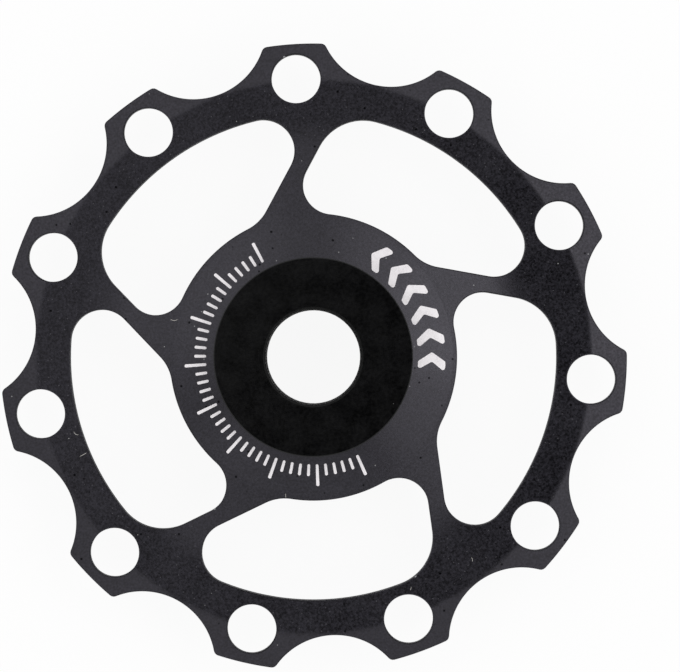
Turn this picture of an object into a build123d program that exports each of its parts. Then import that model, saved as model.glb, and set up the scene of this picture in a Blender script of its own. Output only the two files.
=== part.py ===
from build123d import *
import math
import os

# Derailleur jockey wheel: a toothed aluminium pulley pressed on a sealed ball bearing,
# with a dust cap on each side. Millimetres. The axis is Z, the wheel's middle plane is z = 0,
# and one tooth points along +Y. The wheel lies flat on the outer face of its rear cap.

# Chain and teeth
chain_pitch = 12.7
roller_diameter = 7.75
roller_clearance = 0.77
tooth_count = 11
tooth_height = 2.24
tooth_corner_radius = 0.38
tooth_hole_diameter = 3.145
tooth_tip_thickness = 1.14
tooth_bevel_setback = 0.06

# Rim, spokes and hub of the pulley
rim_width = 2.263
rim_thickness = 2.0
spoke_count = 5
spoke_width = 1.045
spoke_offset = 6.549
spoke_phase = 40.3
hub_width = 5.0
hub_wall = 2.936
hub_face_slope = 12.0
hub_ledge = 0.268
flare_setback = 1.918
flare_blend_radius = 18.7
seat_chamfer = 0.15

# Corners of the spoke windows: the two narrow corners are acute, the two wide ones obtuse
window_corner_hub_narrow = 1.918
window_corner_hub_wide = 2.781
window_corner_rim_narrow = 2.014
window_corner_rim_wide = 3.164

# Ball bearing, 6 x 12 x 4, in the middle of the hub
bearing_bore = 6.0
bearing_od = 12.0
bearing_width = 4.0
ball_count = 8
ball_diameter = 1.588
race_groove_ratio = 0.52
race_clearance = 0.01
race_land_height = 0.36
ring_chamfer = 0.2

# Bearing seals and ball cage
seal_inset = 0.2
seal_thickness = 0.35
seal_lip_clearance = 0.06
seal_recess_depth = 0.34
seal_bead = 0.13
seal_fit_clearance = 0.02
cage_wall = 0.62
cage_back_height = 1.2
cage_prong_height = 0.34
cage_pocket_clearance = 0.04
cage_prong_gap = 0.56
cage_prong_gap_depth = 0.76

# Dust caps
cap_overlap = 0.36
cap_bore_clearance = 0.05
cap_height = 1.5
cap_running_gap = 0.3
cap_rim_chamfer = 0.06
cap_bore_chamfer = 0.15

# Places worked out from the sizes above
pitch_radius = chain_pitch / math.sin(math.pi / tooth_count) / 2
tooth_gap_radius = roller_diameter / 2 + roller_clearance
root_radius = pitch_radius - tooth_gap_radius
tip_radius = root_radius + tooth_height
tooth_bevel_radius = root_radius - tooth_bevel_setback
seat_radius = bearing_od / 2
hub_half = hub_width / 2
rim_half = rim_thickness / 2
tip_half = tooth_tip_thickness / 2
hub_radius = seat_radius + hub_wall
hub_edge_half = hub_half - hub_wall * math.tan(math.radians(hub_face_slope))
window_inner_radius = hub_radius + hub_ledge
window_outer_radius = root_radius - rim_width
window_depth = window_outer_radius - window_inner_radius
knee_radius = window_outer_radius - flare_setback
bearing_half = bearing_width / 2
ball_radius = ball_diameter / 2
ball_circle_radius = (bearing_bore + bearing_od) / 4
groove_radius = race_groove_ratio * ball_diameter
inner_groove_radius = ball_circle_radius - ball_radius - race_clearance
outer_groove_radius = ball_circle_radius + ball_radius + race_clearance
inner_land_radius = inner_groove_radius + race_land_height
outer_land_radius = outer_groove_radius - race_land_height
seal_recess_radius = outer_land_radius + seal_recess_depth
seal_outer_z = bearing_half - seal_inset
seal_inner_z = seal_outer_z - seal_thickness
cap_bore_radius = bearing_bore / 2 + cap_bore_clearance


def turned(points):
    """A solid of revolution about Z from (radius, height) points."""
    return revolve(make_face(Plane.XZ * Polyline(*points, close=True)), Axis.Z)


def mirrored(points):
    """The same points below the middle plane, in the order that closes the section."""
    return [(radius, -height) for radius, height in reversed(points)]


def pulley_section():
    """Section of the pulley: sloping hub face, flare down to the flat rim, and bevelled tooth band."""
    rise = hub_edge_half - rim_half
    run = knee_radius - hub_radius
    half_turn = abs(math.atan2(rise, run)) / 2
    shorter_side = min(math.hypot(rise, run), tooth_bevel_radius - knee_radius)
    blend = min(flare_blend_radius, 0.9 * shorter_side / math.tan(half_turn))
    slope_drop = seat_chamfer * math.tan(math.radians(hub_face_slope))
    blank_radius = tip_radius + tooth_corner_radius
    bevel_slope = (rim_half - tip_half) / (tip_radius - tooth_bevel_radius)
    blank_half = rim_half - bevel_slope * (blank_radius - tooth_bevel_radius)
    upper = [
        (seat_radius, hub_half - seat_chamfer),
        (seat_radius + seat_chamfer, hub_half - slope_drop),
        (hub_radius, hub_edge_half),
        (knee_radius, rim_half),
        (tooth_bevel_radius, rim_half),
        (blank_radius, blank_half),
    ]
    section = make_face(Polyline(*upper, *mirrored(upper), close=True))
    knees = [corner for corner in section.vertices() if abs(corner.X - knee_radius) < 1e-6]
    return Plane.XZ * fillet(knees, blend)


def tooth_outline():
    """Outline of the teeth: a disc with a round gap on the pitch circle for each chain roller."""
    gap = Circle(tooth_gap_radius)
    gap_places = PolarLocations(pitch_radius, tooth_count, 90 + 180 / tooth_count)
    outline = Circle(tip_radius) - [place * gap for place in gap_places]
    return fillet(outline.vertices(), tooth_corner_radius)


def window_corner(side, radius, turn):
    """Point where one side of a spoke meets a circle; the first spoke runs along +Y, left of the axis."""
    across = spoke_offset + side * spoke_width / 2
    return Vector(-across, math.sqrt(radius**2 - across**2)).rotate(Axis.Z, turn)


def circle_arc(start, end, radius):
    """The shorter arc about the axis from one point to another."""
    middle = (start + end).normalized() * radius
    return ThreePointArc(start, middle, end)


def spoke_window():
    """One opening between two slanted spokes, with its four corners rounded."""
    step = 360 / spoke_count
    hub_wide = window_corner(1, window_inner_radius, 0)
    rim_narrow = window_corner(1, window_outer_radius, 0)
    rim_wide = window_corner(-1, window_outer_radius, step)
    hub_narrow = window_corner(-1, window_inner_radius, step)
    window = make_face(
        Line(hub_wide, rim_narrow)
        + circle_arc(rim_narrow, rim_wide, window_outer_radius)
        + Line(rim_wide, hub_narrow)
        + circle_arc(hub_narrow, hub_wide, window_inner_radius)
    )
    narrow_limit = 0.32 * window_depth
    wide_limit = 0.5 * window_depth
    roundings = [
        (hub_wide, min(window_corner_hub_wide, wide_limit)),
        (rim_narrow, min(window_corner_rim_narrow, narrow_limit)),
        (rim_wide, min(window_corner_rim_wide, wide_limit)),
        (hub_narrow, min(window_corner_hub_narrow, narrow_limit)),
    ]
    for corner, radius in roundings:
        window = fillet(window.vertices().sort_by_distance(corner)[0], radius)
    return window


def pulley_wheel():
    """The toothed wheel, milled through from a turned blank."""
    hole_places = PolarLocations(root_radius, tooth_count, 90)
    holes = [place * Circle(tooth_hole_diameter / 2) for place in hole_places]
    window = spoke_window()
    step = 360 / spoke_count
    windows = [Rot(0, 0, spoke_phase + step * turn) * window for turn in range(spoke_count)]
    plan = tooth_outline() - holes - windows
    return revolve(pulley_section(), Axis.Z) & extrude(plan, hub_width, both=True)


def bearing_outer_ring():
    """Outer ring: a ball groove inside, and a recess with a snap groove for the seal at each end."""
    groove = Plane.XZ * Pos(outer_groove_radius - groove_radius, 0) * Circle(groove_radius)
    upper = [
        (outer_land_radius, seal_inner_z),
        (seal_recess_radius + seal_bead, seal_inner_z),
        (seal_recess_radius + seal_bead, seal_outer_z),
        (seal_recess_radius, seal_outer_z),
        (seal_recess_radius, bearing_half),
        (seat_radius - ring_chamfer, bearing_half),
        (seat_radius, bearing_half - ring_chamfer),
    ]
    return turned(upper + mirrored(upper)) - revolve(groove, Axis.Z)


def bearing_inner_ring():
    """Inner ring: the axle bore and the inner ball groove."""
    groove = Plane.XZ * Pos(inner_groove_radius + groove_radius, 0) * Circle(groove_radius)
    upper = [
        (bearing_bore / 2, bearing_half - ring_chamfer),
        (bearing_bore / 2 + ring_chamfer, bearing_half),
        (inner_land_radius, bearing_half),
    ]
    return turned(upper + mirrored(upper)) - revolve(groove, Axis.Z)


def bearing_ball(turn):
    """One ball on the ball circle."""
    return Rot(0, 0, turn) * Pos(ball_circle_radius, 0, 0) * Sphere(ball_radius)


def ball_cage():
    """Crown cage: a ring behind the balls with a snap pocket for each, and split prongs between them."""
    height = cage_back_height + cage_prong_height
    cage = Cylinder(ball_circle_radius + cage_wall / 2, height)
    cage -= Cylinder(ball_circle_radius - cage_wall / 2, height)
    cage = Pos(0, 0, (cage_prong_height - cage_back_height) / 2) * cage
    pocket = Sphere(ball_radius + cage_pocket_clearance)
    split = Pos(0, 0, cage_prong_height) * Box(2 * cage_wall, cage_prong_gap, 2 * cage_prong_gap_depth)
    half_step = 180 / ball_count
    cage -= [place * pocket for place in PolarLocations(ball_circle_radius, ball_count)]
    cage -= [place * split for place in PolarLocations(ball_circle_radius, ball_count, half_step)]
    return cage


def bearing_seal(side):
    """Rubber seal: a bead snapped in the outer ring, a thin web and a lip just off the inner ring."""
    bead_radius = seal_recess_radius + seal_bead - seal_fit_clearance
    lip_radius = inner_land_radius + seal_lip_clearance
    web_z = seal_inner_z + seal_thickness / 4
    neck_radius = seal_recess_radius - seal_fit_clearance
    lip_slope = seal_thickness / 2
    profile = [
        (lip_radius, web_z),
        (outer_land_radius, web_z),
        (outer_land_radius + seal_fit_clearance, seal_inner_z),
        (bead_radius, seal_inner_z),
        (bead_radius, seal_outer_z - seal_fit_clearance),
        (neck_radius, seal_outer_z - seal_fit_clearance),
        (neck_radius, seal_outer_z),
        (lip_radius + lip_slope, seal_outer_z),
        (lip_radius, seal_outer_z - lip_slope),
    ]
    return turned([(radius, side * height) for radius, height in profile])


def dust_cap(side):
    """Dust cap: a flat flange over the hub, standing on the inner ring with a short spigot."""
    flange_z = hub_half + cap_running_gap
    top_z = hub_half + cap_height
    flange_radius = seat_radius + cap_overlap
    profile = [
        (cap_bore_radius, bearing_half),
        (inner_land_radius, bearing_half),
        (inner_land_radius, flange_z),
        (flange_radius, flange_z),
        (flange_radius, top_z - cap_rim_chamfer),
        (flange_radius - cap_rim_chamfer, top_z),
        (cap_bore_radius + cap_bore_chamfer, top_z),
        (cap_bore_radius, top_z - cap_bore_chamfer),
    ]
    return turned([(radius, side * height) for radius, height in profile])


parts = {
    "pulley_wheel": pulley_wheel(),
    "bearing_outer_ring": bearing_outer_ring(),
    "bearing_inner_ring": bearing_inner_ring(),
    "ball_cage": ball_cage(),
    "bearing_seal_front": bearing_seal(1),
    "bearing_seal_rear": bearing_seal(-1),
    "dust_cap_front": dust_cap(1),
    "dust_cap_rear": dust_cap(-1),
}
for number in range(ball_count):
    parts[f"bearing_ball_{number + 1}"] = bearing_ball(number * 360 / ball_count)

os.makedirs("parts", exist_ok=True)
for name, solid in parts.items():
    export_step(solid, f"parts/{name}.step")
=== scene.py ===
import math

import bpy
import numpy as np
from mathutils import Matrix, Vector
from mathutils.geometry import delaunay_2d_cdt


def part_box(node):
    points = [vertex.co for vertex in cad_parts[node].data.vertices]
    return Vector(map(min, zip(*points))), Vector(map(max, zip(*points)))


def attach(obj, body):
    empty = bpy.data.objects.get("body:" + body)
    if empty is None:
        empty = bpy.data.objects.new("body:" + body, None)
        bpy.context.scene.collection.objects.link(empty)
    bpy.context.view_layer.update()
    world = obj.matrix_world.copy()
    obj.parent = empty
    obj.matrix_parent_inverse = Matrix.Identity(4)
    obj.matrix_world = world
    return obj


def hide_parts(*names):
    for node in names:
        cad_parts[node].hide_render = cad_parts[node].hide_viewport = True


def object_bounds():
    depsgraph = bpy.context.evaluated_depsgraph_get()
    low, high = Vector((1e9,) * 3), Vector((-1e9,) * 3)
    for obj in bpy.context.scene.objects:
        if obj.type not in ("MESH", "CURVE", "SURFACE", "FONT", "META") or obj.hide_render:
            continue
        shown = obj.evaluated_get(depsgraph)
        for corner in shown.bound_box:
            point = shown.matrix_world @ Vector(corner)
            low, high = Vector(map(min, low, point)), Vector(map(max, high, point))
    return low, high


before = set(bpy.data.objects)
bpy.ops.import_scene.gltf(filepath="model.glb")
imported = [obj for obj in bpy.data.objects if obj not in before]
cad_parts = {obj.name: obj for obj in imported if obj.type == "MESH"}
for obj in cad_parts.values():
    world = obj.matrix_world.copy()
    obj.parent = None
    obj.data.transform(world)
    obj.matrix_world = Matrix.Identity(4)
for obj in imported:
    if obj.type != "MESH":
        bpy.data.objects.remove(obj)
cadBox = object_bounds()
scene = bpy.context.scene
scene.view_settings.view_transform = "Standard"
mm = 0.001
print("frame loaded:", len(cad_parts), "nodes")


picture = {
    "size": (680, 672),
    "pixelsPerMm": 15.55,
    "axlePixel": (313.5, 356.9),
    "turn": -3.6,  # degrees the camera is rolled about the axle
    "distance": 0.40,  # metres from the wheel's middle plane
    "nearClip": 0.01,
    "sensor": 36.0,
}


def halfSize(node, axis):
    low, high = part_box(node)
    return (high[axis] - low[axis]) / 2 / mm


# the toothed wheel, in millimetres and degrees
pulley = {
    "toothCount": 11,
    "firstTooth": 90.0,  # one tooth stands straight up
    "chainPitch": 12.7,
    "rollerDiameter": 7.75,
    "rollerClearance": 0.77,
    "toothHeight": 2.24,
    "toothCorner": 0.38,
    "toothHole": 3.145,
    "tipHalf": 0.57,
    "bevelSetback": 0.06,
    "rimWidth": 2.263,
    "rimHalf": 1.0,
    "spokeCount": 5,
    "spokeWidth": 1.045,
    "spokeOffset": 6.549,
    "spokePhase": 40.3,
    "hubHalf": 2.5,
    "hubWall": 2.936,
    "hubSlope": 12.0,
    "hubLedge": 0.268,
    "flareSetback": 1.918,
    "flareBlend": 18.7,
    # corner radii of each window
    "hubWide": 2.781,
    "hubNarrow": 1.918,
    "rimNarrow": 2.014,
    "rimWide": 3.164,
    "seatRadius": halfSize("bearing_outer_ring", 0),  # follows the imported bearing
    "edgeRound": 0.07,  # broken edge all round the milled outlines
    "creaseSoft": 0.15,  # the bevel's crease rolls over this far each way
    # how finely the mesh is cut
    "arcStep": 0.14,
    "fewestOnArc": 3,
    "lineStep": 0.56,
    "fewestOnLine": 2,
    "ringTurn": 1.5,  # degrees between the points of the inner circles
    "hubRings": 3,
    "flareRings": 4,
    "blendRings": 10,
    "bevelRings": 3,
    "mergeReach": 0.005,  # a crossing this near an outline point falls on it
}


def deriveSizes(p):
    p["pitchRadius"] = p["chainPitch"] / math.sin(math.pi / p["toothCount"]) / 2
    p["gapRadius"] = p["rollerDiameter"] / 2 + p["rollerClearance"]
    p["rootRadius"] = p["pitchRadius"] - p["gapRadius"]
    p["tipRadius"] = p["rootRadius"] + p["toothHeight"]
    p["bevelRadius"] = p["rootRadius"] - p["bevelSetback"]
    p["windowOuter"] = p["rootRadius"] - p["rimWidth"]
    p["hubRadius"] = p["seatRadius"] + p["hubWall"]
    p["windowInner"] = p["hubRadius"] + p["hubLedge"]
    p["kneeRadius"] = p["windowOuter"] - p["flareSetback"]
    p["hubEdgeHalf"] = p["hubHalf"] - p["hubWall"] * math.tan(math.radians(p["hubSlope"]))
    rise = p["hubEdgeHalf"] - p["rimHalf"]
    run = p["kneeRadius"] - p["hubRadius"]
    p["flareAngle"] = math.atan2(rise, run)
    p["blendReach"] = p["flareBlend"] * math.tan(p["flareAngle"] / 2)
    p["blendStart"] = p["kneeRadius"] - p["blendReach"] * math.cos(p["flareAngle"])
    p["blendEnd"] = p["kneeRadius"] + p["blendReach"]


deriveSizes(pulley)


def faceHeight(radius):
    # height of the wheel's face above its middle plane at a radius
    p = pulley
    hub = p["hubHalf"] - (radius - p["seatRadius"]) * math.tan(math.radians(p["hubSlope"]))
    flare = p["hubEdgeHalf"] - (radius - p["hubRadius"]) * math.tan(p["flareAngle"])
    back = np.clip(p["blendEnd"] - radius, 0, p["flareBlend"])
    blend = p["rimHalf"] + p["flareBlend"] - np.sqrt(p["flareBlend"] ** 2 - back ** 2)
    slope = (p["rimHalf"] - p["tipHalf"]) / (p["tipRadius"] - p["bevelRadius"])
    bevel = p["rimHalf"] - slope * (radius - p["bevelRadius"])
    ends = ("hubRadius", "blendStart", "blendEnd", "bevelRadius")
    return np.select([radius < p[end] for end in ends], [hub, flare, blend, p["rimHalf"]], bevel)


# plan outlines are arrays of complex numbers, x + iy
def turnBy(degrees):
    return np.exp(1j * math.radians(degrees))


def arcPoints(centre, radius, start, end):
    count = math.ceil(abs(end - start) * radius / pulley["arcStep"])
    count = max(pulley["fewestOnArc"], count)
    return centre + radius * np.exp(1j * np.linspace(start, end, count, endpoint=False))


def linePoints(start, end):
    count = math.ceil(abs(end - start) / pulley["lineStep"])
    count = max(pulley["fewestOnLine"], count)
    return start + (end - start) * np.linspace(0, 1, count, endpoint=False)


def toothOutline(inset):
    p = pulley
    step = 2 * math.pi / p["toothCount"]
    gapCentre = p["pitchRadius"]
    cornerAt = p["tipRadius"] - p["toothCorner"]
    reach = p["gapRadius"] + p["toothCorner"]
    half = math.acos((cornerAt ** 2 + gapCentre ** 2 - reach ** 2) / (2 * cornerAt * gapCentre))
    corner = cornerAt * np.exp(1j * half)
    flank = np.angle(corner - gapCentre)
    nextCorner = cornerAt * np.exp(1j * (step - half))
    cornerRadius = p["toothCorner"] - inset
    tooth = np.concatenate([
        arcPoints(gapCentre, p["gapRadius"] + inset, 2 * math.pi - flank, flank),
        arcPoints(corner, cornerRadius, flank - math.pi, half),
        arcPoints(0, p["tipRadius"] - inset, half, step - half),
        arcPoints(nextCorner, cornerRadius, step - half, step + math.pi - flank),
    ])
    pitch = 360 / p["toothCount"]
    firstGap = p["firstTooth"] + pitch / 2
    return np.concatenate([tooth * turnBy(firstGap + pitch * k) for k in range(p["toothCount"])])


def windowOutline(grow):
    # the opening between two spokes, which pass beside the axle
    p = pulley
    step = turnBy(360 / p["spokeCount"])
    nearSide = p["spokeOffset"] + p["spokeWidth"] / 2
    farSide = p["spokeOffset"] - p["spokeWidth"] / 2

    def cornerCentre(across, reach):
        return complex(-across, math.sqrt(reach ** 2 - across ** 2))

    hubWide = cornerCentre(nearSide + p["hubWide"], p["windowInner"] + p["hubWide"])
    rimNarrow = cornerCentre(nearSide + p["rimNarrow"], p["windowOuter"] - p["rimNarrow"])
    rimWide = cornerCentre(farSide - p["rimWide"], p["windowOuter"] - p["rimWide"]) * step
    hubNarrow = cornerCentre(farSide - p["hubNarrow"], p["windowInner"] + p["hubNarrow"]) * step
    farWall = math.radians(360 / p["spokeCount"]) + math.pi
    hubWideAt = np.angle(hubWide)
    rimNarrowAt = np.angle(rimNarrow)
    rimWideAt = np.angle(rimWide) % (2 * math.pi)
    hubNarrowAt = np.angle(hubNarrow) % (2 * math.pi)
    rimNarrowArc = arcPoints(rimNarrow, p["rimNarrow"] + grow, 0, rimNarrowAt)
    rimWideArc = arcPoints(rimWide, p["rimWide"] + grow, rimWideAt, farWall)
    hubNarrowArc = arcPoints(hubNarrow, p["hubNarrow"] + grow, farWall, hubNarrowAt + math.pi)
    hubWideArc = arcPoints(hubWide, p["hubWide"] + grow, hubWideAt - math.pi, 0)
    farEnd = rimWide + (p["rimWide"] + grow) * np.exp(1j * farWall)
    nearEnd = hubWide + p["hubWide"] + grow
    return np.concatenate([
        rimNarrowArc,
        arcPoints(0, p["windowOuter"] + grow, rimNarrowAt, rimWideAt),
        rimWideArc,
        linePoints(farEnd, hubNarrowArc[0]),
        hubNarrowArc,
        arcPoints(0, p["windowInner"] - grow, hubNarrowAt, hubWideAt),
        hubWideArc,
        linePoints(nearEnd, rimNarrowArc[0]),
    ])


def wheelOutlines(inset):
    p = pulley
    loops = [toothOutline(inset), arcPoints(0, p["seatRadius"] + inset, 0, 2 * math.pi)]
    for k in range(p["toothCount"]):
        centre = p["rootRadius"] * turnBy(p["firstTooth"] + 360 / p["toothCount"] * k)
        loops.append(arcPoints(centre, p["toothHole"] / 2 + inset, 0, 2 * math.pi))
    window = windowOutline(inset)
    for k in range(p["spokeCount"]):
        loops.append(window * turnBy(p["spokePhase"] + 360 / p["spokeCount"] * k))
    return loops


def insideLoops(points, loops):
    # even and odd crossings tell metal from openings
    crossings = np.zeros(len(points), int)
    for loop in loops:
        for a, b in zip(loop, np.roll(loop, -1)):
            spans = (a.imag > points.imag) != (b.imag > points.imag)
            if spans.any():
                at = a.real + (points.imag - a.imag) / (b.imag - a.imag) * (b.real - a.real)
                crossings += spans & (points.real < at)
    return crossings % 2 == 1


def radiiBetween(start, end, count):
    return list(np.linspace(start, end, count + 2)[1:-1])


def wheelFace(loops):
    # one face of the wheel: outlines and creases triangulated together
    p = pulley
    turns = np.exp(1j * np.radians(np.arange(0, 360, p["ringTurn"])))
    radii = [p["hubRadius"], p["blendStart"], p["blendEnd"], p["bevelRadius"]]
    radii += [p["bevelRadius"] - p["creaseSoft"], p["bevelRadius"] + p["creaseSoft"]]
    radii += radiiBetween(p["seatRadius"], p["hubRadius"], p["hubRings"])
    radii += radiiBetween(p["hubRadius"], p["blendStart"], p["flareRings"])
    radii += radiiBetween(p["blendStart"], p["blendEnd"], p["blendRings"])
    radii += radiiBetween(p["bevelRadius"], p["tipRadius"], p["bevelRings"])
    rings = loops + [radius * turns for radius in radii]
    points, edges = [], []
    for ring in rings:
        first = len(points)
        points += [Vector((z.real, z.imag)) for z in ring]
        edges += [(first + k, first + (k + 1) % len(ring)) for k in range(len(ring))]
    wholeHull = 0  # triangles over everything; the openings are dropped below
    verts, _, faces, *_ = delaunay_2d_cdt(points, edges, [], wholeHull, p["mergeReach"])
    plan = np.array([complex(v.x, v.y) for v in verts])
    faces = np.array(faces)
    middles = plan[faces].mean(1)
    faces = faces[insideLoops(middles, loops)]
    used, faces = np.unique(faces, return_inverse=True)
    return plan[used], faces.reshape(-1, 3)


def openEdges(faces):
    # edges with metal on one side only, running with the metal on their left
    pairs = np.concatenate([faces[:, [0, 1]], faces[:, [1, 2]], faces[:, [2, 0]]])
    known = set(map(tuple, pairs.tolist()))
    return np.array([pair for pair in pairs.tolist() if (pair[1], pair[0]) not in known])


def solidPoints(flat, height):
    return np.stack([flat.real, flat.imag, height], 1)


def buildPulley():
    p = pulley
    plan, faces = wheelFace(wheelOutlines(p["edgeRound"]))
    a, b, c = plan[faces].T
    flipped = ((b - a).conjugate() * (c - a)).imag < 0
    faces[flipped] = faces[flipped][:, ::-1]
    rim = openEdges(faces)
    outward = np.zeros(len(plan), complex)
    away = (plan[rim[:, 1]] - plan[rim[:, 0]]) * -1j
    away /= abs(away)
    np.add.at(outward, rim[:, 0], away)
    np.add.at(outward, rim[:, 1], away)
    edge = np.unique(rim)
    place = np.zeros(len(plan), int)
    place[edge] = np.arange(len(edge))
    outward = outward[edge] / abs(outward[edge])
    face = faceHeight(abs(plan))

    # the edge rolls over in two steps, then the wall runs down to the far side
    bend = math.pi / 4
    rings = [
        (p["edgeRound"] * math.sin(bend), p["edgeRound"] * (1 - math.cos(bend))),
        (p["edgeRound"], p["edgeRound"]),
    ]
    upper = [solidPoints(plan, face)]
    for reach, drop in rings:
        upper.append(solidPoints(plan[edge] + outward * reach, face[edge] - drop))
    upper = np.concatenate(upper)
    count = len(upper)
    points = np.concatenate([upper, upper * [1, 1, -1]]) * mm
    start = [len(plan), len(plan) + len(edge)]
    near, far = rim[:, 0], rim[:, 1]
    layers = [(near, far)] + [(first + place[near], first + place[far]) for first in start]
    rounds = [np.stack([l[1], l[0], m[0], m[1]], 1) for l, m in zip(layers, layers[1:])]
    rounds = np.concatenate(rounds)
    low = layers[-1]
    wall = np.stack([low[1], low[0], low[0] + count, low[1] + count], 1)
    under = [faces[:, ::-1] + count, rounds[:, ::-1] + count]
    polygons = [f.tolist() for f in (faces, rounds, wall, *under)]
    # finishes: 0 face, 1 broken edge, 2 milled wall
    kinds = np.repeat([0, 1, 2, 0, 1], [len(f) for f in polygons])
    mesh = bpy.data.meshes.new("pulley")
    mesh.from_pydata(points.tolist(), [], [f for group in polygons for f in group])
    mesh.polygons.foreach_set("material_index", kinds.astype(np.int32))
    mesh.polygons.foreach_set("use_smooth", np.ones(len(kinds), bool))

    # zones meet at crisp lines: hub and spokes, face and broken edge, edge and wall
    faceZone = np.digitize(abs(plan[faces].mean(1)), [p["hubRadius"]])
    edgeZone = np.full(len(rounds), 4)
    wallZone = np.full(len(wall), 5)
    zones = np.concatenate([faceZone, edgeZone, wallZone, faceZone + 2, edgeZone])
    seen = {}
    for polygon in mesh.polygons:
        for key in polygon.edge_keys:
            seen.setdefault(key, set()).add(int(zones[polygon.index]))
    sharp = [len(seen[e.key]) > 1 for e in mesh.edges]
    mesh.attributes.new("sharp_edge", "BOOLEAN", "EDGE").data.foreach_set("value", sharp)
    mesh.update()
    wheel = bpy.data.objects.new("wheelBody", mesh)
    scene.collection.objects.link(wheel)
    print("pulley:", len(mesh.vertices), "points", len(mesh.polygons), "faces")
    return wheel


# pale marks on the hub, in millimetres, with azimuths from the picture's right
marks = {
    "height": 0.015,  # stands this far off the hub face
    "sunk": 0.01,
    "chevronCount": 6,
    "chevronFrom": -8.0,
    "chevronTo": 62.0,
    "chevronInner": 6.70,
    "chevronOuter": 8.46,
    "chevronStroke": 0.5,
    "chevronReach": 0.6,  # how far the point runs ahead of the ends
    "chevronCorner": 0.16,
    "scaleFrom": 118.0,
    "scaleTo": 294.0,
    "tickCount": 41,
    "longEvery": 5,
    "tickInner": 6.86,
    "tickShort": 7.62,
    "tickLong": 8.26,
    "tickStroke": 0.19,
    "tickCorner": 0.9,  # share of half the stroke
    "cornerSteps": 7,
    "cornerLimit": 0.45,  # share of a side that one corner may take
}


def roundCorners(points, radius):
    # a closed plan outline with each corner turned on an arc
    points = np.array(points)
    share = np.linspace(0, 1, marks["cornerSteps"])
    loop = []
    for before, corner, after in zip(np.roll(points, 1), points, np.roll(points, -1)):
        into = (before - corner) / abs(before - corner)
        out = (after - corner) / abs(after - corner)
        half = abs(np.angle(out / into)) / 2
        room = [marks["cornerLimit"] * abs(end - corner) for end in (before, after)]
        reach = min(radius / math.tan(half), *room)
        bow = reach * math.tan(half)
        middle = into + out
        centre = corner + middle / abs(middle) * math.hypot(reach, bow)
        start = corner + into * reach - centre
        sweep = np.angle((corner + out * reach - centre) / start)
        loop.append(centre + start * np.exp(1j * sweep * share))
    return np.concatenate(loop)


def chevronOutline():
    # flat outline, x along the rim and y outward, pointing to -x
    m = marks
    half = (m["chevronOuter"] - m["chevronInner"]) / 2
    slant = math.hypot(half, m["chevronReach"]) / half
    back = m["chevronStroke"] * slant / 2
    reach = m["chevronReach"] / 2
    outer = [complex(reach - back, half), complex(-reach - back, 0), complex(reach - back, -half)]
    inner = [complex(reach + back, -half), complex(-reach + back, 0), complex(reach + back, half)]
    return roundCorners(outer + inner, m["chevronCorner"]) + 1j * (m["chevronInner"] + half)


def tickOutline(top):
    half = marks["tickStroke"] / 2
    low = marks["tickInner"]
    corners = [complex(-half, top), complex(-half, low), complex(half, low), complex(half, top)]
    return roundCorners(corners, half * marks["tickCorner"])


def ontoHub(outline, degrees):
    # wraps a flat outline round the hub face at an azimuth in the picture
    turn = math.radians(degrees + picture["turn"])
    middle = (marks["chevronInner"] + marks["chevronOuter"]) / 2
    return outline.imag * np.exp(1j * (turn - outline.real / middle))


def buildMarks():
    m = marks
    outlines = []
    span = m["chevronTo"] - m["chevronFrom"]
    for k in range(m["chevronCount"]):
        at = m["chevronFrom"] + span * (k + 0.5) / m["chevronCount"]
        outlines.append(ontoHub(chevronOutline(), at))
    span = m["scaleTo"] - m["scaleFrom"]
    for k in range(m["tickCount"]):
        top = m["tickLong"] if k % m["longEvery"] == 0 else m["tickShort"]
        at = m["scaleFrom"] + span * k / (m["tickCount"] - 1)
        outlines.append(ontoHub(tickOutline(top), at))
    points, faces = [], []
    for outline in outlines:
        first, count = len(points), len(outline)
        face = faceHeight(abs(outline))
        for rise in (m["height"], -m["sunk"]):
            points += (solidPoints(outline, face + rise) * mm).tolist()
        area = (outline.conjugate() * np.roll(outline, -1)).imag.sum()
        order = range(count) if area > 0 else range(count - 1, -1, -1)
        top = [first + k for k in order]
        faces.append(top)
        faces.append([k + count for k in reversed(top)])
        faces += [(b, a, a + count, b + count) for a, b in zip(top, top[1:] + top[:1])]
    mesh = bpy.data.meshes.new("hubMarks")
    mesh.from_pydata(points, [], faces)
    print("marks:", len(outlines), "strokes")
    marksPiece = bpy.data.objects.new("hubMarks", mesh)
    scene.collection.objects.link(marksPiece)
    return marksPiece


# short fibres of dust, in millimetres and degrees
lint = {
    "thickness": 0.035,
    "sides": 6,
    "steps": 9,
    "endTaper": 0.3,
    # radius, azimuth in the picture, heading, length and bend of each strand
    "strands": [
        (16.04, 203.0, 28.0, 0.58, 6.0),
        (16.02, 197.9, -40.0, 0.45, 90.0),
        (9.22, 165.1, -5.0, 0.58, 80.0),
        (9.05, 258.7, -86.0, 0.30, 8.0),
        (16.12, 292.8, 70.0, 0.25, 25.0),
        (16.50, 308.1, 100.0, 0.30, 60.0),
    ],
}


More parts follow.
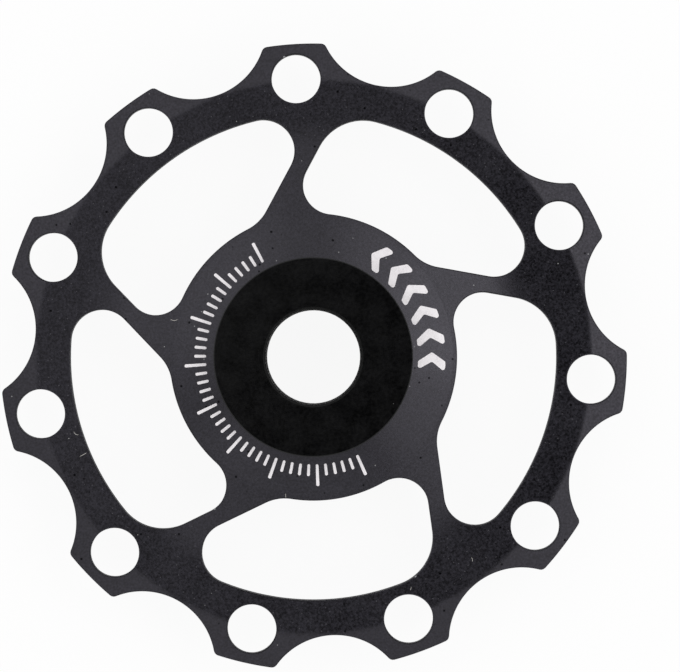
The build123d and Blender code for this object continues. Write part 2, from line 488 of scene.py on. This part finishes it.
def buildLint():
    # bent tubes that lie on the wheel's face
    count, sides = lint["steps"], lint["sides"]
    half = np.full(count, lint["thickness"] / 2)
    half[[0, -1]] *= lint["endTaper"]
    around = 2 * np.pi * np.arange(sides) / sides
    points, faces = [], []
    for radius, azimuth, heading, length, bend in lint["strands"]:
        bent = np.exp(1j * np.radians(bend * np.linspace(-0.5, 0.5, count)))
        ways = turnBy(heading + picture["turn"]) * bent
        path = np.cumsum(ways * length / count)
        path += radius * turnBy(azimuth + picture["turn"]) - path.mean()
        rise = faceHeight(abs(path)) + lint["thickness"] / 2
        first = len(points)
        for centre, way, height, girth in zip(path, ways, rise, half):
            for turn in around:
                at = centre + 1j * way * girth * math.cos(turn)
                points.append((at.real * mm, at.imag * mm, (height + girth * math.sin(turn)) * mm))
        for k in range(count - 1):
            for i in range(sides):
                a, b = first + k * sides + i, first + k * sides + (i + 1) % sides
                faces.append((a, b, b + sides, a + sides))
        last = first + (count - 1) * sides
        faces.append([first + i for i in reversed(range(sides))])
        faces.append([last + i for i in range(sides)])
    mesh = bpy.data.meshes.new("lint")
    mesh.from_pydata(points, [], faces)
    strands = bpy.data.objects.new("lint", mesh)
    scene.collection.objects.link(strands)
    print("lint:", len(lint["strands"]), "strands")
    return strands


def newGroup(name, inputs, outputs):
    group = bpy.data.node_groups.new(name, "ShaderNodeTree")
    for label, value in inputs.items():
        socket = group.interface.new_socket(label, in_out="INPUT", socket_type="NodeSocketFloat")
        socket.default_value = value
    for label in outputs:
        group.interface.new_socket(label, in_out="OUTPUT", socket_type="NodeSocketFloat")
    return group, group.nodes.new("NodeGroupInput"), group.nodes.new("NodeGroupOutput")


def feed(tree, socket, source):
    # links another node's output, or sets a plain value
    if hasattr(source, "is_linked"):
        tree.links.new(source, socket)
    else:
        socket.default_value = source


def addNode(tree, kind, links=None, **settings):
    node = tree.nodes.new(kind)
    for key, value in settings.items():
        setattr(node, key, value)
    for socket, source in (links or {}).items():
        feed(tree, node.inputs[socket], source)
    return node


def mathNode(tree, operation, a, b=0.0, clamp=False):
    node = addNode(tree, "ShaderNodeMath", {0: a, 1: b}, operation=operation, use_clamp=clamp)
    return node.outputs[0]


def remap(tree, value, low, high, toLow=0.0, toHigh=1.0):
    links = {"Value": value, "From Min": low, "From Max": high, "To Min": toLow, "To Max": toHigh}
    return addNode(tree, "ShaderNodeMapRange", links, clamp=True).outputs["Result"]


def fade(tree, mask, low, high):
    # low where the mask is 0 and high where it is 1
    return remap(tree, mask, 0.0, 1.0, low, high)


def spreadOut(tree, noise, spread):
    # noise gathers round a half, so this much either side of it fills 0 to 1
    return remap(tree, noise.outputs["Fac"], 0.5 - spread, 0.5 + spread)


def objectPoint(tree):
    return addNode(tree, "ShaderNodeTexCoord").outputs["Object"]


def axisDistance(tree):
    split = addNode(tree, "ShaderNodeSeparateXYZ", {0: objectPoint(tree)})
    square = mathNode(tree, "MULTIPLY", split.outputs[0], split.outputs[0])
    other = mathNode(tree, "MULTIPLY", split.outputs[1], split.outputs[1])
    return mathNode(tree, "SQRT", mathNode(tree, "ADD", square, other))


# noise settings of the shader groups that several finishes share
effects = {
    # size input, detail and spread
    "grain": ("Grain Size", 1.0, 0.20),
    "patches": ("Patch Size", 4.0, 0.14),
    "grainRoughness": 0.5,
    "ringDetail": 3.0,
    "ringRoughness": 0.7,
    "ringSpread": 0.2,
    "speckCore": 0.6,  # share of a speck's width at full strength
}


def makeGrainGroup():
    # fine blasted grain with slow cloudy patches over it
    inputs = {"Grain Size": 0.00012, "Patch Size": 0.004}
    group, given, result = newGroup("blastedGrain", inputs, ["Grain", "Patches"])
    for label, kind in (("Grain", "grain"), ("Patches", "patches")):
        size, detail, spread = effects[kind]
        links = {"Detail": detail, "Roughness": effects["grainRoughness"]}
        links["Vector"] = objectPoint(group)
        links["Scale"] = mathNode(group, "DIVIDE", 1.0, given.outputs[size])
        noise = addNode(group, "ShaderNodeTexNoise", links)
        group.links.new(spreadOut(group, noise, spread), result.inputs[label])
    return group


def makeTurningGroup():
    # rings that a lathe tool leaves round the axis
    group, given, result = newGroup("turningMarks", {"Ring Pitch": 0.00008}, ["Rings"])
    links = {"Scale": 1.0, "Detail": effects["ringDetail"], "Roughness": effects["ringRoughness"]}
    links["W"] = mathNode(group, "DIVIDE", axisDistance(group), given.outputs["Ring Pitch"])
    noise = addNode(group, "ShaderNodeTexNoise", links, noise_dimensions="1D")
    group.links.new(spreadOut(group, noise, effects["ringSpread"]), result.inputs["Rings"])
    return group


def makeSpeckGroup():
    # sparse round specks: dust, pits, nicks and painted glints
    inputs = {"Spacing": 0.001, "Size": 0.00004, "Share": 0.1}
    group, given, result = newGroup("sparseSpecks", inputs, ["Specks"])
    scale = mathNode(group, "DIVIDE", 1.0, given.outputs["Spacing"])
    links = {"Vector": objectPoint(group), "Scale": scale, "Randomness": 1.0}
    cells = addNode(group, "ShaderNodeTexVoronoi", links)
    reach = mathNode(group, "DIVIDE", given.outputs["Size"], given.outputs["Spacing"])
    ratio = mathNode(group, "DIVIDE", cells.outputs["Distance"], reach)
    spot = remap(group, ratio, 1.0, effects["speckCore"])
    pick = addNode(group, "ShaderNodeSeparateColor", {0: cells.outputs["Color"]}).outputs[0]
    chosen = mathNode(group, "LESS_THAN", pick, given.outputs["Share"])
    group.links.new(mathNode(group, "MULTIPLY", spot, chosen), result.inputs["Specks"])
    return group


def makeBandGroup():
    # 1 between two radii about the axis, 0 outside them, a half on each radius
    inputs = {"Inner": 0.0, "Outer": 0.01, "Soft": 0.0001}
    group, given, result = newGroup("ringBand", inputs, ["Mask"])
    radius = axisDistance(group)
    rise = mathNode(group, "SUBTRACT", radius, given.outputs["Inner"])
    fall = mathNode(group, "SUBTRACT", given.outputs["Outer"], radius)
    nearest = mathNode(group, "MINIMUM", rise, fall)
    mask = mathNode(group, "DIVIDE", nearest, given.outputs["Soft"])
    group.links.new(mathNode(group, "ADD", mask, 0.5, clamp=True), result.inputs["Mask"])
    return group


grainGroup = makeGrainGroup()
turningGroup = makeTurningGroup()
speckGroup = makeSpeckGroup()
bandGroup = makeBandGroup()
print("shader groups ready")


def useGroup(tree, group, values):
    node = addNode(tree, "ShaderNodeGroup", node_tree=group)
    for label, value in values.items():
        node.inputs[label].default_value = value
    return node


def newMaterial(name, fixed):
    material = bpy.data.materials.new(name)
    material.use_nodes = True
    tree = material.node_tree
    shader = next(n for n in tree.nodes if n.type == "BSDF_PRINCIPLED")
    for socket, value in fixed.items():
        shader.inputs[socket].default_value = value
    return material, tree, shader


def blendColour(tree, mask, first, second):
    node = addNode(tree, "ShaderNodeMix", data_type="RGBA")
    for socket, source in ((0, mask), (6, first), (7, second)):  # factor, A and B of a colour mix
        feed(tree, node.inputs[socket], source)
    return node.outputs[2]


def addBump(tree, shader, height, distance, strength=1.0):
    links = {"Height": height, "Distance": distance, "Strength": strength}
    bump = addNode(tree, "ShaderNodeBump", links)
    tree.links.new(bump.outputs[0], shader.inputs["Normal"])


# black anodised aluminium of the wheel; sizes in metres
anodised = {
    "colour": (0.0004, 0.0003, 0.0006, 1),
    "paleColour": (0.0168, 0.0162, 0.0210, 1),
    "pitColour": (0.0008, 0.0008, 0.0008, 1),
    "dustColour": (0.22, 0.22, 0.22, 1),
    # painted highlight: colour of the glint specks on the rim
    "paintedGlintColour": (0.052, 0.051, 0.057, 1),
    "bareMetal": (0.32, 0.32, 0.33, 1),
    "sheen": (0.92, 0.885, 1.0, 1),  # cool cast of the reflections
    "grain": {"Grain Size": 0.000135, "Patch Size": 0.0035},
    "grainShare": 0.85,  # parts of the colour's change that grain and patches make
    "patchShare": 0.15,
    "pits": {"Spacing": 0.0008, "Size": 0.0001, "Share": 0.4},
    "pitStrength": 0.82,
    "dust": {"Spacing": 0.0005, "Size": 0.00005, "Share": 0.1},
    "paintedGlints": {"Spacing": 0.0003, "Size": 0.00005, "Share": 0.42},  # painted glints: bright points of sparkle painted into the rim's colour
    "rimLead": 0.0012,  # the rim's finish starts this far inside the flare's end
    "rimSoft": 0.0004,
    "pastTips": 0.03,
    "bevelSoft": 0.0005,
    "turnedRoughness": 0.226,  # hub and spokes
    "rimRoughness": 0.223,
    "bevelRoughness": 0.372,
    "cloudSwing": 0.02,
    # roughness from dark grain to pale; below 0, pale grains are the smoother ones
    "turnedSpeckle": -0.012,
    "rimSpeckle": 0.022,
    "bevelSpeckle": -0.065,
    "grainDepth": 0.0000015,
    "turnedGrain": 0.6,  # shares of that depth
    "rimGrain": 1.0,
    "ringPitch": 0.00007,
    "ringShare": 0.12,
    "edgeShine": 0.3,  # broken edges and milled walls mirror less than the faces
    "edgeRoughness": 0.34,
    "edgeGrain": {"Grain Size": 0.0004, "Patch Size": 0.006},
    "edgeDepth": 0.000004,
    "edgeBump": 0.5,
    "nicks": {"Spacing": 0.0007, "Size": 0.0001, "Share": 0.15},
    "linePitch": 0.00018,  # lines that the end mill leaves down the walls
    "lineStretch": 0.03,
    "lineDetail": 2.0,
    "lineRange": (0.3, 0.7),
    "lineDepth": 0.000006,
    "wallRoughness": (0.62, 0.78),
}


def makeAnodised():
    a = anodised
    material, tree, shader = newMaterial("blackAnodised", {"Specular Tint": a["sheen"]})
    grain = useGroup(tree, grainGroup, a["grain"])
    turning = useGroup(tree, turningGroup, {"Ring Pitch": a["ringPitch"]})
    pits = useGroup(tree, speckGroup, a["pits"]).outputs["Specks"]
    pits = mathNode(tree, "MULTIPLY", pits, a["pitStrength"])
    dust = useGroup(tree, speckGroup, a["dust"]).outputs["Specks"]
    paintedGlints = useGroup(tree, speckGroup, a["paintedGlints"]).outputs["Specks"]
    rimStart = pulley["blendEnd"] * mm - a["rimLead"]
    crease = pulley["bevelRadius"] * mm
    rimBand = {"Inner": rimStart, "Outer": crease, "Soft": a["rimSoft"]}
    bevelBand = {"Inner": crease, "Outer": a["pastTips"], "Soft": a["bevelSoft"]}
    onRim = useGroup(tree, bandGroup, rimBand).outputs["Mask"]
    onBevel = useGroup(tree, bandGroup, bevelBand).outputs["Mask"]

    fine = mathNode(tree, "MULTIPLY", grain.outputs["Grain"], a["grainShare"])
    slow = mathNode(tree, "MULTIPLY", grain.outputs["Patches"], a["patchShare"])
    shade = mathNode(tree, "ADD", fine, slow, clamp=True)
    colour = blendColour(tree, shade, a["colour"], a["paleColour"])
    # painted highlight: pale glint specks put into the rim's colour
    colour = blendColour(tree, mathNode(tree, "MULTIPLY", paintedGlints, onRim), colour, a["paintedGlintColour"])
    colour = blendColour(tree, pits, colour, a["pitColour"])
    colour = blendColour(tree, dust, colour, a["dustColour"])
    tree.links.new(colour, shader.inputs["Base Color"])
    tree.links.new(pits, shader.inputs["Metallic"])  # a black pit mirrors nothing

    rough = fade(tree, onRim, a["turnedRoughness"], a["rimRoughness"])
    more = fade(tree, onBevel, 0.0, a["bevelRoughness"] - a["turnedRoughness"])
    cloud = fade(tree, grain.outputs["Patches"], -a["cloudSwing"], a["cloudSwing"])
    swing = fade(tree, onRim, a["turnedSpeckle"], a["rimSpeckle"])
    swing = fade(tree, onBevel, swing, a["bevelSpeckle"])
    speckle = mathNode(tree, "MULTIPLY", fade(tree, grain.outputs["Grain"], -1.0, 1.0), swing)
    for part in (more, cloud, speckle):
        rough = mathNode(tree, "ADD", rough, part)
    tree.links.new(rough, shader.inputs["Roughness"])

    depth = fade(tree, onRim, a["turnedGrain"], a["rimGrain"])
    blasted = mathNode(tree, "MULTIPLY", grain.outputs["Grain"], depth)
    lathe = fade(tree, onRim, a["ringShare"], 0.0)
    turned = mathNode(tree, "MULTIPLY", turning.outputs["Rings"], lathe)
    addBump(tree, shader, mathNode(tree, "ADD", blasted, turned), a["grainDepth"])
    return material


def makeBrokenEdge():
    a = anodised
    fixed = {"Specular Tint": a["sheen"], "Specular IOR Level": a["edgeShine"]}
    fixed["Roughness"] = a["edgeRoughness"]
    material, tree, shader = newMaterial("anodisedEdge", fixed)
    grain = useGroup(tree, grainGroup, a["edgeGrain"])
    nicks = useGroup(tree, speckGroup, a["nicks"])
    colour = blendColour(tree, grain.outputs["Patches"], a["colour"], a["paleColour"])
    colour = blendColour(tree, nicks.outputs["Specks"], colour, a["bareMetal"])
    tree.links.new(colour, shader.inputs["Base Color"])
    addBump(tree, shader, grain.outputs["Grain"], a["edgeDepth"], a["edgeBump"])
    return material


def makeMilledWall():
    a = anodised
    fixed = {"Specular Tint": a["sheen"], "Specular IOR Level": a["edgeShine"]}
    material, tree, shader = newMaterial("milledWall", fixed)
    grain = useGroup(tree, grainGroup, a["grain"])
    squeeze = {"Vector": objectPoint(tree), "Scale": (1, 1, a["lineStretch"])}
    along = addNode(tree, "ShaderNodeMapping", squeeze).outputs[0]
    links = {"Vector": along, "Scale": 1 / a["linePitch"], "Detail": a["lineDetail"]}
    lines = addNode(tree, "ShaderNodeTexNoise", links).outputs["Fac"]
    shade = mathNode(tree, "MULTIPLY", grain.outputs["Patches"], lines)
    colour = blendColour(tree, shade, a["colour"], a["paleColour"])
    tree.links.new(colour, shader.inputs["Base Color"])
    rough = remap(tree, lines, *a["lineRange"], *a["wallRoughness"])
    tree.links.new(rough, shader.inputs["Roughness"])
    addBump(tree, shader, lines, a["lineDepth"])
    return material


cap = {
    "colour": (0.0010, 0.0010, 0.0011, 1),
    "paleColour": (0.0052, 0.0052, 0.0055, 1),
    "dustColour": (0.10, 0.10, 0.10, 1),
    "grain": {"Grain Size": 0.00022, "Patch Size": 0.0012},
    "dust": {"Spacing": 0.0007, "Size": 0.000035, "Share": 0.07},
    "roughness": (0.12, 0.18),
    "shine": 0.2,  # weaker mirror than the bare anodised wheel
    "ringPitch": 0.00006,
    "ringDepth": 0.000001,
    "ringBump": 0.4,
    "bore": {"Outer": 0.00309, "Soft": 0.00002},  # just outside the bore's wall
    "boreRoughness": 0.7,
}


def makeCapFinish():
    material, tree, shader = newMaterial("capBlack", {"Specular IOR Level": cap["shine"]})
    grain = useGroup(tree, grainGroup, cap["grain"])
    turning = useGroup(tree, turningGroup, {"Ring Pitch": cap["ringPitch"]})
    dust = useGroup(tree, speckGroup, cap["dust"])
    bore = useGroup(tree, bandGroup, cap["bore"])
    both = mathNode(tree, "ADD", grain.outputs["Patches"], grain.outputs["Grain"])
    mottle = mathNode(tree, "MULTIPLY", both, 0.5)
    colour = blendColour(tree, mottle, cap["colour"], cap["paleColour"])
    colour = blendColour(tree, dust.outputs["Specks"], colour, cap["dustColour"])
    tree.links.new(colour, shader.inputs["Base Color"])
    rough = fade(tree, mottle, *cap["roughness"])
    rough = fade(tree, bore.outputs["Mask"], rough, cap["boreRoughness"])
    tree.links.new(rough, shader.inputs["Roughness"])
    addBump(tree, shader, turning.outputs["Rings"], cap["ringDepth"], cap["ringBump"])
    return material


steel = {
    "colour": (0.50, 0.50, 0.51, 1),
    "paleColour": (0.62, 0.62, 0.63, 1),
    "grain": {"Grain Size": 0.0003, "Patch Size": 0.003},
    "ringRoughness": (0.16, 0.28),
    "ringPitch": 0.00006,
    "ballRoughness": (0.05, 0.10),
    "ballPitch": 0.0004,
    "lineDepth": 0.0000008,
    "lineBump": 0.5,
    "bore": {"Outer": 0.00305, "Soft": 0.00002},
    "boreShadeColour": (0.012, 0.011, 0.010, 1),  # painted shade: the bore is darkened where shade falls down the hole
    "boreRoughness": 0.7,
}


def makeSteel(name, roughness, pitch, shadedBore=False):
    material, tree, shader = newMaterial(name, {"Metallic": 1.0})
    grain = useGroup(tree, grainGroup, steel["grain"])
    turning = useGroup(tree, turningGroup, {"Ring Pitch": pitch})
    colour = blendColour(tree, grain.outputs["Patches"], steel["colour"], steel["paleColour"])
    rough = fade(tree, turning.outputs["Rings"], *roughness)
    # painted shade: a dark colour down the bore, with a rough finish and no metal
    if shadedBore:
        bore = useGroup(tree, bandGroup, steel["bore"]).outputs["Mask"]
        colour = blendColour(tree, bore, colour, steel["boreShadeColour"])
        rough = fade(tree, bore, rough, steel["boreRoughness"])
        bright = mathNode(tree, "SUBTRACT", 1.0, bore)
        tree.links.new(bright, shader.inputs["Metallic"])
    tree.links.new(colour, shader.inputs["Base Color"])
    tree.links.new(rough, shader.inputs["Roughness"])
    addBump(tree, shader, turning.outputs["Rings"], steel["lineDepth"], steel["lineBump"])
    return material


# rubber seals, nylon cage and loose fibres
moulded = {
    "rubber": {
        "colour": (0.016, 0.016, 0.016, 1),
        "paleColour": (0.030, 0.030, 0.030, 1),
        "roughness": 0.55,
    },
    "nylon": {
        "colour": (0.66, 0.61, 0.48, 1),
        "paleColour": (0.76, 0.72, 0.60, 1),
        "roughness": 0.45,
    },
    "fibre": {
        "colour": (0.30, 0.29, 0.27, 1),
        "paleColour": (0.55, 0.53, 0.50, 1),
        "roughness": 0.7,
    },
    "grain": {"Grain Size": 0.00018, "Patch Size": 0.002},
    "swing": 0.06,  # roughness either side of its middle
    "depth": 0.000005,
    "bump": 0.4,
}


def makeMoulded(name, kind):
    m = moulded
    look = m[kind]
    material, tree, shader = newMaterial(name, {})
    grain = useGroup(tree, grainGroup, m["grain"])
    colour = blendColour(tree, grain.outputs["Patches"], look["colour"], look["paleColour"])
    tree.links.new(colour, shader.inputs["Base Color"])
    smooth, dull = look["roughness"] - m["swing"], look["roughness"] + m["swing"]
    tree.links.new(fade(tree, grain.outputs["Grain"], smooth, dull), shader.inputs["Roughness"])
    addBump(tree, shader, grain.outputs["Grain"], m["depth"], m["bump"])
    return material


etched = {
    "colour": (0.90, 0.87, 0.89, 1),
    "thinColour": (0.74, 0.71, 0.73, 1),
    "grain": {"Grain Size": 0.00006, "Patch Size": 0.0007},
    "roughness": (0.6, 0.8),
    "depth": 0.000006,
    "bump": 0.4,
}


def makeEtched():
    e = etched
    material, tree, shader = newMaterial("etchedWhite", {})
    grain = useGroup(tree, grainGroup, e["grain"])
    worn = mathNode(tree, "MULTIPLY", grain.outputs["Grain"], grain.outputs["Patches"])
    colour = blendColour(tree, worn, e["colour"], e["thinColour"])
    tree.links.new(colour, shader.inputs["Base Color"])
    rough = fade(tree, grain.outputs["Grain"], *e["roughness"])
    tree.links.new(rough, shader.inputs["Roughness"])
    addBump(tree, shader, grain.outputs["Grain"], e["depth"], e["bump"])
    return material


def dress(node, material):
    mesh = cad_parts[node].data
    mesh.materials.clear()
    mesh.materials.append(material)


wheelBody = buildPulley()
for finish in (makeAnodised(), makeBrokenEdge(), makeMilledWall()):
    wheelBody.data.materials.append(finish)
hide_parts("pulley_wheel")
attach(wheelBody, "wheel")

hubMarks = buildMarks()
hubMarks.data.materials.append(makeEtched())
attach(hubMarks, "wheel")

strands = buildLint()
strands.data.materials.append(makeMoulded("lintFibre", "fibre"))
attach(strands, "wheel")

capFinish = makeCapFinish()
# the ring steel carries painted shade in its bore
ringSteel = makeSteel("ringSteel", steel["ringRoughness"], steel["ringPitch"], shadedBore=True)
ballSteel = makeSteel("ballSteel", steel["ballRoughness"], steel["ballPitch"])
sealRubber = makeMoulded("sealRubber", "rubber")
cageNylon = makeMoulded("cageNylon", "nylon")
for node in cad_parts:
    if node.startswith("dust_cap"):
        dress(node, capFinish)
    elif node.startswith("bearing_ball"):
        dress(node, ballSteel)
    elif node.startswith("bearing_seal"):
        dress(node, sealRubber)
    elif node == "ball_cage":
        dress(node, cageNylon)
    elif node.endswith("_ring"):
        dress(node, ringSteel)
print("finishes on", len(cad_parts), "nodes")


studio = {
    "floorColour": (0.90, 0.90, 0.90, 1),
    "floorHalf": 3.0,
    "floorDrop": 0.00002,  # keeps the floor just clear of the cap's face
    "floorWhite": 0.92,  # share of plain white that the camera and reflections see
    "skyTop": 0.0,  # dark overhead, where the camera stands
    "skySide": 0.953,
    "skyLean": (9.4, 288.0),  # degrees that the dark part leans, and towards which azimuth
    "skyEdge": (14.6, 36.0),  # degrees off the lean where the dark ends and the side starts
    "boxDistance": 0.45,
    # azimuth from the picture's right, elevation, radiance and width
    "softboxes": [
        (18.0, 59.0, 1.37, 0.160),
        (53.0, 67.0, 0.84, 0.140),
        (150.0, 72.0, 0.50, 0.255),
        (256.0, 64.5, 0.62, 0.296),
        (341.0, 58.0, 1.17, 0.230),
    ],
}


def whiteShare(tree, share):
    path = addNode(tree, "ShaderNodeLightPath")
    seen = mathNode(tree, "MAXIMUM", path.outputs["Is Camera Ray"], path.outputs["Is Glossy Ray"])
    seen = mathNode(tree, "MAXIMUM", seen, path.outputs["Is Transmission Ray"])
    return mathNode(tree, "MULTIPLY", seen, share)


def makeFloor():
    low = cadBox[0].z - studio["floorDrop"]
    half = studio["floorHalf"]
    corners = [(-half, -half, low), (half, -half, low), (half, half, low), (-half, half, low)]
    mesh = bpy.data.meshes.new("floor")
    mesh.from_pydata(corners, [], [(0, 1, 2, 3)])
    floor = bpy.data.objects.new("floor", mesh)
    scene.collection.objects.link(floor)
    material = bpy.data.materials.new("paleFloor")
    material.use_nodes = True
    tree = material.node_tree
    tree.nodes.clear()
    lit = addNode(tree, "ShaderNodeBsdfDiffuse", {"Color": studio["floorColour"]})
    white = addNode(tree, "ShaderNodeEmission", {"Color": (1, 1, 1, 1), "Strength": 1.0})
    upper = {0: whiteShare(tree, studio["floorWhite"]), 1: lit.outputs[0], 2: white.outputs[0]}
    upper = addNode(tree, "ShaderNodeMixShader", upper).outputs[0]
    # clear from below, so that the wheel's far side can be looked at
    below = addNode(tree, "ShaderNodeNewGeometry").outputs["Backfacing"]
    clear = addNode(tree, "ShaderNodeBsdfTransparent").outputs[0]
    both = addNode(tree, "ShaderNodeMixShader", {0: below, 1: upper, 2: clear}).outputs[0]
    addNode(tree, "ShaderNodeOutputMaterial", {"Surface": both})
    mesh.materials.append(material)


def skyward(azimuth, elevation):
    # unit vector towards an azimuth in the picture
    turn = math.radians(azimuth + picture["turn"])
    rise = math.radians(elevation)
    level = math.cos(rise)
    return Vector((math.cos(turn) * level, math.sin(turn) * level, math.sin(rise)))


def makeSky():
    world = bpy.data.worlds.new("studioSky")
    world.use_nodes = True
    tree = world.node_tree
    tree.nodes.clear()
    lean, azimuth = studio["skyLean"]
    way = addNode(tree, "ShaderNodeTexCoord").outputs["Generated"]
    links = {0: way, 1: skyward(azimuth, 90 - lean)}
    nearTop = addNode(tree, "ShaderNodeVectorMath", links, operation="DOT_PRODUCT").outputs["Value"]
    edge = [math.cos(math.radians(angle)) for angle in studio["skyEdge"]]
    level = remap(tree, nearTop, *edge, studio["skyTop"], studio["skySide"])
    path = addNode(tree, "ShaderNodeLightPath")
    level = mathNode(tree, "MAXIMUM", level, path.outputs["Is Camera Ray"])
    back = addNode(tree, "ShaderNodeBackground", {"Color": (1, 1, 1, 1), "Strength": level})
    addNode(tree, "ShaderNodeOutputWorld", {"Surface": back.outputs[0]})
    scene.world = world


def makeSoftboxes():
    for number, (azimuth, elevation, radiance, width) in enumerate(studio["softboxes"]):
        lamp = bpy.data.lights.new(f"softbox{number}", "AREA")
        lamp.shape = "SQUARE"
        lamp.size = width
        lamp.energy = radiance * math.pi * width ** 2
        holder = bpy.data.objects.new(f"softbox{number}", lamp)
        toLamp = skyward(azimuth, elevation)
        holder.location = toLamp * studio["boxDistance"]
        holder.rotation_euler = toLamp.to_track_quat("Z", "Y").to_euler()
        scene.collection.objects.link(holder)


def makeCamera():
    p = picture
    camera = bpy.data.cameras.new("camera")
    camera.sensor_width = p["sensor"]
    frameWidth = p["size"][0] / p["pixelsPerMm"] * mm
    camera.lens = p["sensor"] * p["distance"] / frameWidth
    camera.clip_start = p["nearClip"]
    holder = bpy.data.objects.new("camera", camera)
    across = (p["size"][0] / 2 - p["axlePixel"][0]) / p["pixelsPerMm"] * mm
    up = (p["axlePixel"][1] - p["size"][1] / 2) / p["pixelsPerMm"] * mm
    roll = Matrix.Rotation(math.radians(p["turn"]), 4, "Z")
    holder.matrix_world = roll @ Matrix.Translation((across, up, p["distance"]))
    scene.collection.objects.link(holder)
    scene.camera = holder


makeFloor()
makeSky()
makeSoftboxes()
makeCamera()
print("studio ready")
